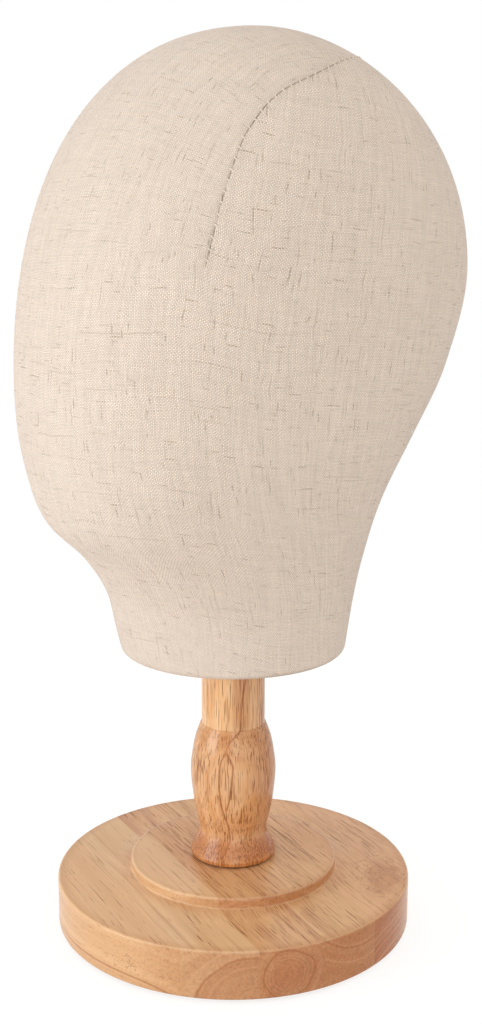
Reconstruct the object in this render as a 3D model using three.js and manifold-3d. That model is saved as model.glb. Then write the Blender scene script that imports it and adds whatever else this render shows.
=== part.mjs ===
// Mannequin head covered in linen, on a turned post and a round base glued up from wooden strips.
// Millimetres, +Z up. The face looks along -Y and the head's left side is +X.
// The origin is on the surface that the stand rests on, under the post's axis.

import * as THREE from 'three';
import { mergeVertices } from 'three/addons/utils/BufferGeometryUtils.js';
import Module from 'manifold-3d';

const wasm = await Module();
wasm.setup();

// Gaps between pieces
const GAP = 0.3; // one piece inside another
const GLUE_LINE = 0.12; // between two strips of the base

// Base, heights measured from the wood's underside
const BASE_RADIUS = 80;
const RIM_HEIGHT = 21.9;
const RIM_ROUND = 1.4;
const STEP_RADIUS = 46.7;
const STEP_HEIGHT = 28.5;
const STEP_ROUND = 1.1;
const STEP_COVE = 2.8;
const STRIP_COUNT = 6;
const STRIP_WASTE = 4; // turned off each side of the glued board
const STRIP_SHIFT = 1.4; // middle glue line, off the post's axis
const GRAIN_TURN = THREE.MathUtils.degToRad(-7.8); // strips against +X
const FELT_THICKNESS = 1.2;
const FELT_INSET = 6; // from the base's edge

// Fixings of the post
const BOLT_RADIUS = 4;
const BOLT_LENGTH = 40; // under the head
const BOLT_HEAD_WIDTH = 13; // across flats
const BOLT_HEAD_HEIGHT = 5.3;
const BOLT_PLAY = 0.5; // round the shank in the base
const BOLT_TIP_ROOM = 3;
const WASHER_RADIUS = 12;
const WASHER_THICKNESS = 2;
const POCKET_ROOM = 1.5; // round the washer, and under the bolt's head
const INSERT_WALL = 1.7;
const INSERT_LENGTH = 16;
const INSERT_RECESS = 0.6;

// Post, heights measured from its foot
const FOOT_RADIUS = 19.25;
const FOOT_ROUND = 2.6;
const FOOT_TUCK = 1.7; // how far the foot's lower edge draws in
const WAIST_RADIUS = 15.15;
const WAIST_HEIGHT = 13;
const BULGE_RADIUS = 19.25;
const BULGE_HEIGHT = 40.5;
const SHOULDER_RADIUS = 14.8;
const SHOULDER_HEIGHT = 62.8;
const STEM_RADIUS = 14.2;
const STEM_CHAMFER = 1.5;
const SOCKET_DEPTH = 85; // stem inside the head
const NECK_HEIGHT = 98.1; // neck's lower edge above the foot

// Head, heights measured from the neck's lower edge, reaches from the post's axis
const HEAD_HEIGHT = 262.9;
const NECK_RADIUS = 49.4;
const FACE = { height: 109.3, reach: 94, power: 2.06 };
const OCCIPUT = { height: 164.1, reach: 106.1, power: 1.84 };
const TEMPLE = { height: 178.2, reach: 79.1, power: 2.43 };
const CROWN_BACK = 3.2; // crown behind the post's axis
const FRONT_OUTLINE = [[14, 53.7], [30, 57.9], [46, 67.8], [62, 83.4], [80, 90.4]];
const BACK_OUTLINE = [[20, 55.5], [42, 60.1], [68, 65], [95, 77.5], [125, 94.6]];
const SIDE_OUTLINE = [[23, 47.9], [43, 50.7], [68, 58.6], [98, 69], [128, 75.4]];
const WIDEST_BACK = 8.4; // widest place of the skull behind the post's axis
const WIDEST_FROM = 43.4; // the neck is widest level with the post up to here
const WIDEST_TO = 123.4;
const ROUND_BELOW = 13.4; // the neck is round up to here
const FULL_ABOVE = 73.4; // the section is fully squared from here
const FRONT_SQUARENESS = 2.4; // 2 is an ellipse
const BACK_SQUARENESS = 2.2;

// Linen, core and neck board
const LINEN = 1;
const NECK_EDGE_ROUND = 2.4;
const HEM_WIDTH = 14;
const BOARD_THICKNESS = 9;
const TUBE_WALL = 2;
const TUBE_END = 3;

// Staples
const STAPLE_COUNT = 12;
const STAPLE_WIDTH = 10;
const STAPLE_WIRE = 0.7;
const STAPLE_BREADTH = 1.1;
const STAPLE_LEG = 6;
const STAPLE_INSET = 6.5; // crown's middle from the neck's edge

// Facets
const HEAD_SIDES = 40;
const LOWER_RINGS = 13;
const UPPER_RINGS = 14;
const BASE_SIDES = 72;
const POST_SIDES = 36;
const SMALL_SIDES = 24;

// Levels that pieces share
const stripWidth = 2 * (BASE_RADIUS + STRIP_WASTE) / STRIP_COUNT;
const baseZ = FELT_THICKNESS;
const postZ = baseZ + STEP_HEIGHT;
const neckZ = postZ + NECK_HEIGHT;
const pocketRadius = WASHER_RADIUS + POCKET_ROOM;
const pocketDepth = WASHER_THICKNESS + BOLT_HEAD_HEIGHT + POCKET_ROOM;
const boltZ = baseZ + pocketDepth - WASHER_THICKNESS;
const boreRadius = BOLT_RADIUS + BOLT_PLAY;
const insertInner = BOLT_RADIUS + GAP;
const insertOuter = insertInner + INSERT_WALL;
const boltReach = boltZ + BOLT_LENGTH - postZ;
const tubeInner = STEM_RADIUS + GAP;
const tubeOuter = tubeInner + TUBE_WALL;
const coreInset = LINEN + GAP;
const boardZ = LINEN + GAP;
const coreZ = boardZ + BOARD_THICKNESS + GAP;
const tubeTop = SOCKET_DEPTH + GAP;

const linenLook = look(0xd8cdbd, 0.95);
const foamLook = look(0xf2f0ea, 0.9);
const plywoodLook = look(0xc9a877, 0.8);
const cardLook = look(0xa98c66, 0.85);
const steelLook = look(0xb9bcc0, 0.35, 1);
const brassLook = look(0xb8964f, 0.4, 1);
const feltLook = look(0x4b463f, 1);
const postLook = look(0xcf9a66, 0.45);

function look(color, roughness, metalness = 0) {
  return new THREE.MeshStandardMaterial({ color, roughness, metalness });
}

function between(a, b, share) {
  return a + (b - a) * share;
}

function smoothStep(value, from, to) {
  return THREE.MathUtils.smoothstep(value, from, to);
}

// Signed volume, positive when the faces point out
function volumeOf(position, index) {
  const [a, b, c] = [new THREE.Vector3(), new THREE.Vector3(), new THREE.Vector3()];
  let sum = 0;
  for (let i = 0; i < index.length; i += 3) {
    a.fromBufferAttribute(position, index[i]);
    b.fromBufferAttribute(position, index[i + 1]);
    c.fromBufferAttribute(position, index[i + 2]);
    sum += a.dot(b.cross(c));
  }
  return sum / 6;
}

// One closed skin: shared corners merged, empty triangles dropped, faces turned out
function closed(geometry) {
  const bare = geometry.clone();
  bare.deleteAttribute('normal');
  bare.deleteAttribute('uv');
  const merged = mergeVertices(bare, 1e-4);
  const all = Array.from(merged.index.array);
  const kept = [];
  for (let i = 0; i < all.length; i += 3) {
    const [a, b, c] = all.slice(i, i + 3);
    if (a !== b && b !== c && c !== a) kept.push(a, b, c);
  }
  if (volumeOf(merged.attributes.position, kept) < 0) {
    kept.reverse();
  }
  merged.setIndex(kept);
  merged.computeVertexNormals();
  return merged;
}

function toSolid(geometry) {
  return new wasm.Manifold(new wasm.Mesh({
    numProp: 3,
    vertProperties: Float32Array.from(geometry.attributes.position.array),
    triVerts: Uint32Array.from(geometry.index.array),
  }));
}

function toGeometry(solid) {
  const mesh = solid.getMesh();
  const geometry = new THREE.BufferGeometry();
  geometry.setAttribute('position', new THREE.BufferAttribute(mesh.vertProperties, 3));
  geometry.setIndex(Array.from(mesh.triVerts));
  geometry.computeVertexNormals();
  return geometry;
}

// Quarter of a circle or less, as [radius, height] points of a turned outline
function arc(x, z, radius, fromDegrees, toDegrees, steps) {
  return Array.from({ length: steps + 1 }, (_, i) => {
    const angle = THREE.MathUtils.degToRad(between(fromDegrees, toDegrees, i / steps));
    return [x + radius * Math.cos(angle), z + radius * Math.sin(angle)];
  });
}

// Solid of revolution about Z from [radius, height] points
function turned(outline, sides) {
  const points = outline.map(([radius, height]) => new THREE.Vector2(radius, height));
  return closed(new THREE.LatheGeometry(points, sides).rotateX(Math.PI / 2));
}

function ringTube(inner, outer, length, sides) {
  return turned([[inner, 0], [outer, 0], [outer, length], [inner, length], [inner, 0]], sides);
}

// Closed skin through rings of equal count. A ring of one point is an end.
// With loop the last ring joins the first.
function throughRings(rings, loop = false) {
  const points = rings.flat();
  const starts = rings.map((_, i) => rings.slice(0, i).reduce((sum, ring) => sum + ring.length, 0));
  const index = [];
  const last = loop ? rings.length : rings.length - 1;
  for (let i = 0; i < last; i++) {
    const j = (i + 1) % rings.length;
    for (let k = 0; k < HEAD_SIDES; k++) {
      const [a, b] = [k, k + 1].map((n) => starts[i] + (n % rings[i].length));
      const [c, d] = [k, k + 1].map((n) => starts[j] + (n % rings[j].length));
      index.push(a, b, d, a, d, c);
    }
  }
  const geometry = new THREE.BufferGeometry().setFromPoints(points);
  geometry.setIndex(index);
  return closed(geometry);
}

// Smooth curve through [height, reach] points that ends upright
function reachAt(outline, height) {
  const slopes = outline.map((point, i) => {
    const before = outline[Math.max(i - 1, 0)];
    const after = outline[i + 1];
    return after ? (after[1] - before[1]) / (after[0] - before[0]) : 0;
  });
  const next = outline.findIndex((point) => point[0] > height);
  if (next < 0) return outline[outline.length - 1][1];
  const [from, to] = [outline[next - 1], outline[next]];
  const span = to[0] - from[0];
  const t = (height - from[0]) / span;
  return from[1] * (2 * t ** 3 - 3 * t ** 2 + 1) + to[1] * (3 * t ** 2 - 2 * t ** 3)
    + slopes[next - 1] * span * (t ** 3 - 2 * t ** 2 + t) + slopes[next] * span * (t ** 3 - t ** 2);
}

// Share of the full reach that is left at a height, from 1 at the widest place to 0 at the crown
function domeShare(height, widest, power) {
  const climb = THREE.MathUtils.clamp((height - widest) / (HEAD_HEIGHT - widest), 0, 1);
  return (1 - climb ** power) ** (1 / power);
}

function outlineReach(outline, full, height, crown) {
  const points = [[0, NECK_RADIUS], ...outline, [full.height, full.reach]];
  if (height <= full.height) return reachAt(points, height);
  return crown + (full.reach - crown) * domeShare(height, full.height, full.power);
}

// Horizontal section of the head at one height
function sectionAt(height) {
  const skull = domeShare(height, TEMPLE.height, 2);
  const squared = smoothStep(height, ROUND_BELOW, FULL_ABOVE) * domeShare(height, WIDEST_TO, 2);
  return {
    front: outlineReach(FRONT_OUTLINE, FACE, height, -CROWN_BACK),
    back: outlineReach(BACK_OUTLINE, OCCIPUT, height, CROWN_BACK),
    side: outlineReach(SIDE_OUTLINE, TEMPLE, height, 0),
    middle: between(-CROWN_BACK, -WIDEST_BACK * smoothStep(height, WIDEST_FROM, WIDEST_TO), skull),
    frontPower: between(2, FRONT_SQUARENESS, squared),
    backPower: between(2, BACK_SQUARENESS, squared),
  };
}

// Level 0 is the neck's lower edge, 1 the face's widest place and 2 the crown
function heightOf(level) {
  if (level <= 1) return level * FACE.height;
  return between(FACE.height, HEAD_HEIGHT, Math.sin((Math.min(level, 2) - 1) * Math.PI / 2));
}

function levelOf(height) {
  return height / FACE.height;
}

// Point of the head's surface at a level and an angle from the face towards the left side
function surfacePoint(level, angle) {
  const height = heightOf(level);
  const section = sectionAt(height);
  const [forward, left] = [Math.cos(angle), Math.sin(angle)];
  const power = forward > 0 ? section.frontPower : section.backPower;
  const round = (Math.abs(forward) ** power + Math.abs(left) ** power) ** (-1 / power);
  const reach = forward > 0 ? section.front - section.middle : section.back + section.middle;
  return new THREE.Vector3(section.side * round * left, -section.middle - reach * round * forward, height);
}

// The surface moved inwards by inset, level at the neck so that the neck's faces stay flat
function insetPoint(level, angle, inset) {
  const point = surfacePoint(level, angle);
  const step = 0.01;
  const around = surfacePoint(level, angle + step).sub(surfacePoint(level, angle - step));
  const up = surfacePoint(level + step, angle).sub(surfacePoint(Math.max(level - step, 0), angle));
  const inward = up.cross(around).normalize();
  if (inward.dot(new THREE.Vector3(-point.x, -point.y, HEAD_HEIGHT / 2 - point.z)) < 0) inward.negate();
  inward.z *= smoothStep(point.z, coreZ, coreZ + NECK_EDGE_ROUND * 10);
  return point.addScaledVector(inward.normalize(), inset);
}

function headAngles() {
  return Array.from({ length: HEAD_SIDES }, (_, k) => (k / HEAD_SIDES) * Math.PI * 2);
}

function insetRing(level, inset, height = null) {
  return headAngles().map((angle) => {
    const point = insetPoint(level, angle, inset);
    if (height !== null) point.z = height;
    return point;
  });
}

function circleRing(radius, height) {
  return headAngles().map(
    (angle) => new THREE.Vector3(radius * Math.sin(angle), -radius * Math.cos(angle), height),
  );
}

// Rings of the inset surface from a height up to the crown, the crown itself as an end
function shellRings(fromHeight, inset) {
  const levels = [];
  for (let i = 1; i <= LOWER_RINGS; i++) levels.push(i / LOWER_RINGS);
  for (let i = 1; i < UPPER_RINGS; i++) levels.push(1 + i / UPPER_RINGS);
  const above = levels.filter((level) => heightOf(level) > fromHeight);
  const rings = above.map((level) => insetRing(level, inset));
  return [...rings, [new THREE.Vector3(0, CROWN_BACK, HEAD_HEIGHT - inset)]];
}

// Rings of the neck's rounded lower edge, from its flat underside to its wall
function neckEdgeRings() {
  return [0, 30, 60, 90].map((degrees) => {
    const angle = THREE.MathUtils.degToRad(degrees);
    const height = NECK_EDGE_ROUND * (1 - Math.cos(angle));
    return insetRing(levelOf(height), NECK_EDGE_ROUND * (1 - Math.sin(angle)), height);
  });
}

function linenCover(stapleCuts) {
  const hemRadius = NECK_RADIUS - HEM_WIDTH;
  const cover = throughRings([
    ...shellRings(LINEN, LINEN).reverse(),
    insetRing(levelOf(LINEN), LINEN, LINEN),
    circleRing(hemRadius, LINEN),
    circleRing(hemRadius, 0),
    ...neckEdgeRings(),
    ...shellRings(NECK_EDGE_ROUND, 0),
  ]);
  return toGeometry(toSolid(cover).subtract(stapleCuts));
}

function headCore() {
  const bore = tubeOuter + GAP;
  const ceiling = tubeTop + TUBE_END + GAP;
  return throughRings([
    [new THREE.Vector3(0, 0, ceiling)],
    circleRing(bore, ceiling),
    circleRing(bore, coreZ),
    insetRing(levelOf(coreZ), coreInset, coreZ),
    ...shellRings(coreZ, coreInset),
  ]);
}

function neckBoard(stapleCuts) {
  const bore = tubeOuter + GAP;
  const top = boardZ + BOARD_THICKNESS;
  const board = throughRings([
    circleRing(bore, top),
    circleRing(bore, boardZ),
    insetRing(levelOf(boardZ), coreInset, boardZ),
    insetRing(levelOf(top), coreInset, top),
  ], true);
  return toGeometry(toSolid(board).subtract(stapleCuts));
}

// Tube that drops over the stem, its mouth level with the neck board and its end closed
function socketTube() {
  const top = tubeTop + TUBE_END;
  return turned([[0, tubeTop], [tubeInner, tubeTop], [tubeInner, boardZ], [tubeOuter, boardZ],
    [tubeOuter, top], [0, top]], POST_SIDES);
}

// Staple with its crown along X and its legs up, the crown's top at height 0
function staple() {
  const half = STAPLE_WIDTH / 2;
  const inside = half - STAPLE_WIRE;
  const outline = new THREE.Shape([
    [-half, -STAPLE_WIRE], [half, -STAPLE_WIRE], [half, STAPLE_LEG], [inside, STAPLE_LEG],
    [inside, 0], [-inside, 0], [-inside, STAPLE_LEG], [-half, STAPLE_LEG],
  ].map(([x, y]) => new THREE.Vector2(x, y)));
  const bent = new THREE.ExtrudeGeometry(outline, { depth: STAPLE_BREADTH, bevelEnabled: false });
  return closed(bent.translate(0, 0, -STAPLE_BREADTH / 2).rotateX(Math.PI / 2));
}

// Where each staple sits under the hem, and how far it is turned about Z
function stapleSeats() {
  return Array.from({ length: STAPLE_COUNT }, (_, i) => {
    const angle = ((i + 0.5) / STAPLE_COUNT) * Math.PI * 2;
    const radius = NECK_RADIUS - STAPLE_INSET;
    return {
      turn: angle,
      place: new THREE.Vector3(radius * Math.sin(angle), -radius * Math.cos(angle), -GAP),
    };
  });
}

// Slots that the staples' legs fill in the hem and the neck board
function stapleSlots() {
  const top = STAPLE_LEG + GAP;
  const slot = new THREE.BoxGeometry(STAPLE_WIRE + 2 * GAP, STAPLE_BREADTH + 2 * GAP, top + LINEN);
  const legX = (STAPLE_WIDTH - STAPLE_WIRE) / 2;
  const slots = stapleSeats().flatMap(({ turn, place }) => [-legX, legX].map((x) => {
    const leg = slot.clone().translate(x, 0, (top - LINEN) / 2).rotateZ(turn);
    return toSolid(closed(leg.translate(place.x, place.y, place.z)));
  }));
  return slots.reduce((sum, next) => sum.add(next));
}

function turnedPost() {
  const holeRadius = insertOuter + GAP;
  const holeDepth = boltReach + BOLT_TIP_ROOM;
  const top = NECK_HEIGHT + SOCKET_DEPTH;
  const swell = new THREE.SplineCurve([
    [FOOT_RADIUS, FOOT_ROUND],
    [between(FOOT_RADIUS, WAIST_RADIUS, 0.38), between(FOOT_ROUND, WAIST_HEIGHT, 0.36)],
    [WAIST_RADIUS, WAIST_HEIGHT],
    [between(WAIST_RADIUS, BULGE_RADIUS, 0.38), between(WAIST_HEIGHT, BULGE_HEIGHT, 0.27)],
    [between(WAIST_RADIUS, BULGE_RADIUS, 0.72), between(WAIST_HEIGHT, BULGE_HEIGHT, 0.55)],
    [BULGE_RADIUS, BULGE_HEIGHT],
    [between(BULGE_RADIUS, SHOULDER_RADIUS, 0.17), between(BULGE_HEIGHT, SHOULDER_HEIGHT, 0.38)],
    [between(BULGE_RADIUS, SHOULDER_RADIUS, 0.5), between(BULGE_HEIGHT, SHOULDER_HEIGHT, 0.72)],
    [SHOULDER_RADIUS, SHOULDER_HEIGHT],
  ].map(([radius, height]) => new THREE.Vector2(radius, height)));
  const drop = SHOULDER_RADIUS - STEM_RADIUS;
  return turned([
    [0, holeDepth],
    [holeRadius, holeDepth],
    [holeRadius, 0],
    [FOOT_RADIUS - FOOT_TUCK, 0],
    [between(FOOT_RADIUS - FOOT_TUCK, FOOT_RADIUS, 0.7), FOOT_ROUND * 0.35],
    ...swell.getPoints(18).map((point) => [point.x, point.y]),
    [STEM_RADIUS, SHOULDER_HEIGHT + drop],
    [STEM_RADIUS, top - STEM_CHAMFER],
    [STEM_RADIUS - STEM_CHAMFER, top],
    [0, top],
  ], POST_SIDES);
}

// Hexagon bolt, the underside of its head at height 0
function baseBolt() {
  const corner = BOLT_HEAD_WIDTH / 2 / Math.cos(Math.PI / 6);
  const head = new THREE.CylinderGeometry(corner, corner, BOLT_HEAD_HEIGHT, 6);
  head.rotateX(Math.PI / 2).translate(0, 0, -BOLT_HEAD_HEIGHT / 2);
  const shank = turned([[0, -BOLT_HEAD_HEIGHT / 2], [BOLT_RADIUS, -BOLT_HEAD_HEIGHT / 2],
    [BOLT_RADIUS, BOLT_LENGTH - 1], [BOLT_RADIUS - 1, BOLT_LENGTH], [0, BOLT_LENGTH]], SMALL_SIDES);
  return toGeometry(toSolid(closed(head)).add(toSolid(shank)));
}

// The whole base as it comes off the lathe, bored for the bolt and pocketed for its head
function turnedBase() {
  const outline = [
    [boreRadius, pocketDepth],
    [pocketRadius, pocketDepth],
    [pocketRadius, 0],
    ...arc(BASE_RADIUS - RIM_ROUND, RIM_ROUND, RIM_ROUND, -90, 0, 2),
    ...arc(BASE_RADIUS - RIM_ROUND, RIM_HEIGHT - RIM_ROUND, RIM_ROUND, 0, 90, 3),
    ...arc(STEP_RADIUS + STEP_COVE, RIM_HEIGHT + STEP_COVE, STEP_COVE, 270, 180, 3),
    ...arc(STEP_RADIUS - STEP_ROUND, STEP_HEIGHT - STEP_ROUND, STEP_ROUND, 0, 90, 3),
    [boreRadius, STEP_HEIGHT],
    [boreRadius, pocketDepth],
  ];
  return toSolid(turned(outline, BASE_SIDES));
}

// The strips that the base was glued up from, cut out of the turned form
function baseStrips() {
  const whole = turnedBase();
  const reach = BASE_RADIUS + 1;
  const first = STRIP_SHIFT - (STRIP_COUNT / 2) * stripWidth;
  return Array.from({ length: STRIP_COUNT }, (_, i) => {
    const low = i === 0 ? -reach : first + i * stripWidth + GLUE_LINE / 2;
    const high = i === STRIP_COUNT - 1 ? reach : first + (i + 1) * stripWidth - GLUE_LINE / 2;
    const slab = new THREE.BoxGeometry(2 * reach, high - low, STEP_HEIGHT + 2);
    slab.translate(0, (low + high) / 2, STEP_HEIGHT / 2).rotateZ(GRAIN_TURN);
    return toGeometry(whole.intersect(toSolid(closed(slab))));
  });
}

function put(parent, name, geometry, material, z = 0) {
  const mesh = new THREE.Mesh(geometry, material);
  mesh.name = name;
  mesh.position.z = z;
  parent.add(mesh);
  return mesh;
}

function buildStand() {
  const stand = new THREE.Group();
  put(stand, 'felt_disc', turned([[0, 0], [BASE_RADIUS - FELT_INSET, 0],
    [BASE_RADIUS - FELT_INSET, FELT_THICKNESS], [0, FELT_THICKNESS]], BASE_SIDES), feltLook);
  const tones = [0xd2a272, 0xd8a878, 0xc98f60, 0xd6ab7c, 0xcf9c6c, 0xd9ae80];
  baseStrips().forEach((geometry, i) => {
    put(stand, `base_strip_${i + 1}`, geometry, look(tones[i % tones.length], 0.45), baseZ);
  });
  put(stand, 'base_washer', ringTube(boreRadius, WASHER_RADIUS, WASHER_THICKNESS, SMALL_SIDES),
    steelLook, boltZ);
  return stand;
}

function buildPost() {
  const post = new THREE.Group();
  put(post, 'turned_post', turnedPost(), postLook, postZ);
  put(post, 'post_insert', ringTube(insertInner, insertOuter, INSERT_LENGTH, SMALL_SIDES),
    brassLook, postZ + INSERT_RECESS);
  put(post, 'base_bolt', baseBolt(), steelLook, boltZ);
  return post;
}

function buildHead() {
  const head = new THREE.Group();
  head.position.z = neckZ;
  const slots = stapleSlots();
  put(head, 'linen_cover', linenCover(slots), linenLook);
  put(head, 'head_core', headCore(), foamLook);
  put(head, 'neck_board', neckBoard(slots), plywoodLook);
  put(head, 'socket_tube', socketTube(), cardLook);
  const bent = staple();
  stapleSeats().forEach(({ turn, place }, i) => {
    const mesh = put(head, `staple_${String(i + 1).padStart(2, '0')}`, bent, steelLook);
    mesh.position.copy(place);
    mesh.rotation.z = turn;
  });
  return head;
}

const mannequin = new THREE.Group();
mannequin.add(buildStand(), buildPost(), buildHead());

export default mannequin;
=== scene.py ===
"""Looks of a linen mannequin head on a turned rubberwood stand.

Metres, +Z up. The face looks along -Y and the head's left side is +X. Shapes are worked out in mm,
in heights above the level that each part stands on, and turned into metres where a mesh is made.
"""

import math

import bmesh
import bpy
import numpy as np
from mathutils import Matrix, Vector
from mathutils.kdtree import KDTree


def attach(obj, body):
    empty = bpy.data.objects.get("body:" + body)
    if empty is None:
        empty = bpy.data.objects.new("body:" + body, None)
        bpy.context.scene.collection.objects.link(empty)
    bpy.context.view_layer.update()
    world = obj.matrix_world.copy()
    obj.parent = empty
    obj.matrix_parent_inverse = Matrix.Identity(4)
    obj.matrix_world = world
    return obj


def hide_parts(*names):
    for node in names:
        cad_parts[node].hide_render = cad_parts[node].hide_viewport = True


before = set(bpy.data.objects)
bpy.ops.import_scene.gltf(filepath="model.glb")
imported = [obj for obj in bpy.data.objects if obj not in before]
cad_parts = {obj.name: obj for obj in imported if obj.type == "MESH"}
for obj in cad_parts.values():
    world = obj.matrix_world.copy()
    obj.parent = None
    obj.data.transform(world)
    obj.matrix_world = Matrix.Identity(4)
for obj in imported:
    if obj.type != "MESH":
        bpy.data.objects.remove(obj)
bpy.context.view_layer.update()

MM = 0.001

# Levels that the parts stand on, mm
BASE_Z = 1.2
POST_Z = 29.7
NECK_Z = 127.8

# Head: heights above the neck's lower edge and reaches from the post's axis. FACE, OCCIPUT and
# TEMPLE are the height and reach of a widest place and the power of the dome above it. The
# outlines are the heights and reaches below those places.
HEAD_HEIGHT = 262.9
NECK_RADIUS = 49.4
FACE = (109.3, 94.0, 2.06)
OCCIPUT = (164.1, 106.1, 1.84)
TEMPLE = (178.2, 79.1, 2.43)
FRONT_OUTLINE = ((14, 53.7), (30, 57.9), (46, 67.8), (62, 83.4), (80, 90.4))
BACK_OUTLINE = ((20, 55.5), (42, 60.1), (68, 65), (95, 77.5), (125, 94.6))
SIDE_OUTLINE = ((23, 47.9), (43, 50.7), (68, 58.6), (98, 69), (128, 75.4))
CROWN_BACK = 3.2  # how far the crown lies behind the axis
WIDEST_BACK = 8.4  # how far the widest place lies behind it
WIDEST_MOVES = (43.4, 123.4)  # heights over which that place moves back
SQUARED = (13.4, 73.4)  # heights over which the round neck turns squared
FRONT_SQUARENESS = 0.4  # above the power 2 of an ellipse
BACK_SQUARENESS = 0.2
INSET_TURNS = (10.6, 34.6)  # heights over which an inset stops being level
LINEN = 1.0
NECK_EDGE = 2.4
HEM_RADIUS = 35.4
HEM_RINGS = (38.0, 41.0, 44.0)  # radii between the hem's edge and the neck's edge
HEAD_SIDES = 384
INNER_RINGS = (26, 36)  # below and above the face's widest place
OUTER_RINGS = (72, 150)

# Left dart as (height, degrees from the face), its point first. The right one mirrors it, and the
# two meet behind the crown on the closing seam.
DART = ((168.9, 49.7), (193.6, 51.0), (211.1, 53.0), (220.4, 55.8), (229.4, 61.1), (236.4, 71.0),
        (245.7, 96.5), (249.4, 125.5), (249.2, 152.4), (248.4, 180.0))
SEAM_STEP = 0.5  # between the points of a seam's line
SEAM_REACH = 12.0  # how far from a seam its distance is kept
SEAM_REFINED = 4.5  # how far from a seam the mesh is finer
GROOVE = (0.36, 0.6)  # depth and half width of a seam's groove
SEAM_SWELL = (0.16, 3.2)  # height and half width of its swell

# Stitches
STITCH = 4.3  # from one stitch to the next
STITCH_HALF = 0.78
STITCH_SLANT = 0.45
STITCH_BOW = (0.24, 0.46)  # rise of its middle, drop to its ends
THREAD_RADIUS = 0.23
THREAD_ENDS = 0.55  # their share of the thread's radius
SKULL_MIDDLE = (0, 5, 165)  # stitches point away from it, and below it from its upright line

# Weave
WARP, WEFT = 0.46, 0.58  # from one yarn to the next
TURN_AXIS = 4  # behind the post's axis, the centre of the side panels' angles
TOP_WIDTH = (80, 81)  # radius and half width of the top panel's bend to the sides
TOP_BEND = (165, 98, 6)  # height, radius and place behind the axis of its bend over the crown

# Base and post, as turned
BASE_SIDES = 288
BASE_RADIUS = 80.0
RIM_HEIGHT = 21.9
RIM_ROUND = 1.4
RIM_RISE = ((62, 0.0), (57, 0.18), (53, 0.62), (50, 1.14), (48.4, 1.48))  # radius, rise to the step
STEP_RADIUS = 46.7
STEP_HEIGHT = 28.5
STEP_ROUND = 1.4
STEP_FOOT = 0.9  # radius of the fillet under the step
STEP_FOOT_RISE = 1.62  # from the rim to the fillet circle's lowest point
BORE_RADIUS = 4.5
POCKET_RADIUS = 13.5
POCKET_DEPTH = 8.8
GLUE_LINES = (-54.6, -26.6, 1.4, 29.4, 57.4)  # across the grain
GLUE_GAP = 0.03
GRAIN_TURN = -7.8  # degrees against +X
POST_SIDES = 360
INSERT_HOLE = (6.3, 22.3)  # radius, depth
POST_TOP = 183.1
STEM_RADIUS = 14.2
SHOULDER = (14.8, 62.8)
FOOT_EDGE = ((17.0, 0), (17.1, 0.4), (17.6, 0.6), (18.4, 0.7), (18.8, 0.95), (19.02, 1.35),
             (19.12, 1.8))
POST_SWELL = ((19.25, 2.6), (17.692, 6.344), (15.15, 13.0), (16.708, 20.425), (18.102, 28.125),
              (19.25, 40.5), (18.4935, 48.974), (17.025, 56.556), SHOULDER)

# Growth rings that come out on the post, as (height above its foot, degrees from +X)
GROWTH_LINES = (
    ((87.1, -12.4), (81.5, -15.9), (75.8, -19.3), (70.1, -21.6), (63.8, -22.7), (61.4, -30.9),
     (59.1, -39.0), (56.7, -43.4), (54.3, -45.9), (51.1, -50.9), (48.3, -53.2), (42.7, -53.6),
     (36.7, -53.8), (30.7, -52.6), (24.8, -48.0), (20.0, -43.5), (15.5, -41.2), (11.9, -40.7),
     (10.2, -42.6), (8.8, -44.6), (7.3, -47.4), (5.6, -50.4), (4.3, -51.7)),
    ((54.3, -45.9), (51.9, -40.3), (48.7, -35.9), (45.9, -35.5), (42.5, -36.7), (35.3, -38.4),
     (31.6, -41.1), (27.5, -44.5)),
)
GROWTH_REACH = 5  # how far from a growth line its distance is kept


# Meshes


def in_scene(name, data):
    """New object with this data."""
    obj = bpy.data.objects.new(name, data)
    bpy.context.scene.collection.objects.link(obj)
    return obj


def new_object(name, points, faces):
    """Object from points in mm, and faces."""
    mesh = bpy.data.meshes.new(name)
    mesh.from_pydata((np.asarray(points) * MM).tolist(), [], faces)
    return in_scene(name, mesh)


def smooth(obj, sharp_degrees):
    obj.data.shade_smooth()
    obj.data.set_sharp_from_angle(angle=math.radians(sharp_degrees))


def store(mesh, name, values):
    """Keeps a number for each vertex, for a material to read."""
    attribute = mesh.attributes.new(name, "FLOAT", "POINT")
    attribute.data.foreach_set("value", np.asarray(values, np.float32))


def read(collection, key, width, kind=np.float32):
    flat = np.empty(len(collection) * width, kind)
    collection.foreach_get(key, flat)
    return flat.reshape(-1, width) if width > 1 else flat


def smoothstep(value, low, high):
    share = np.clip((value - low) / (high - low), 0, 1)
    return share * share * (3 - 2 * share)


def hermite(x, y, slope, at):
    """Smooth curve through (x, y), y of any width, with the given slopes."""
    i = np.clip(np.searchsorted(x, at, side="right") - 1, 0, len(x) - 2)
    span = x[i + 1] - x[i]
    t = (at - x[i]) / span
    if y.ndim > 1:
        span, t = span[:, None], t[:, None]
    return (y[i] * (2 * t**3 - 3 * t**2 + 1) + y[i + 1] * (3 * t**2 - 2 * t**3)
            + slope[i] * span * (t**3 - 2 * t**2 + t) + slope[i + 1] * span * (t**3 - t**2))


def lengths_along(points):
    steps = np.linalg.norm(np.diff(points, axis=0), axis=1)
    return np.concatenate([[0], np.cumsum(steps)])


def directions(line):
    """Unit tangents at a line's points."""
    tangent = np.gradient(line, axis=0)
    return tangent / np.linalg.norm(tangent, axis=1, keepdims=True)


def evenly(points, step):
    """The same line in even steps."""
    length = lengths_along(points)
    even = np.linspace(0, length[-1], max(int(length[-1] / step), 2))
    return np.stack([np.interp(even, length, points[:, k]) for k in range(points.shape[1])], 1)


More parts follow.
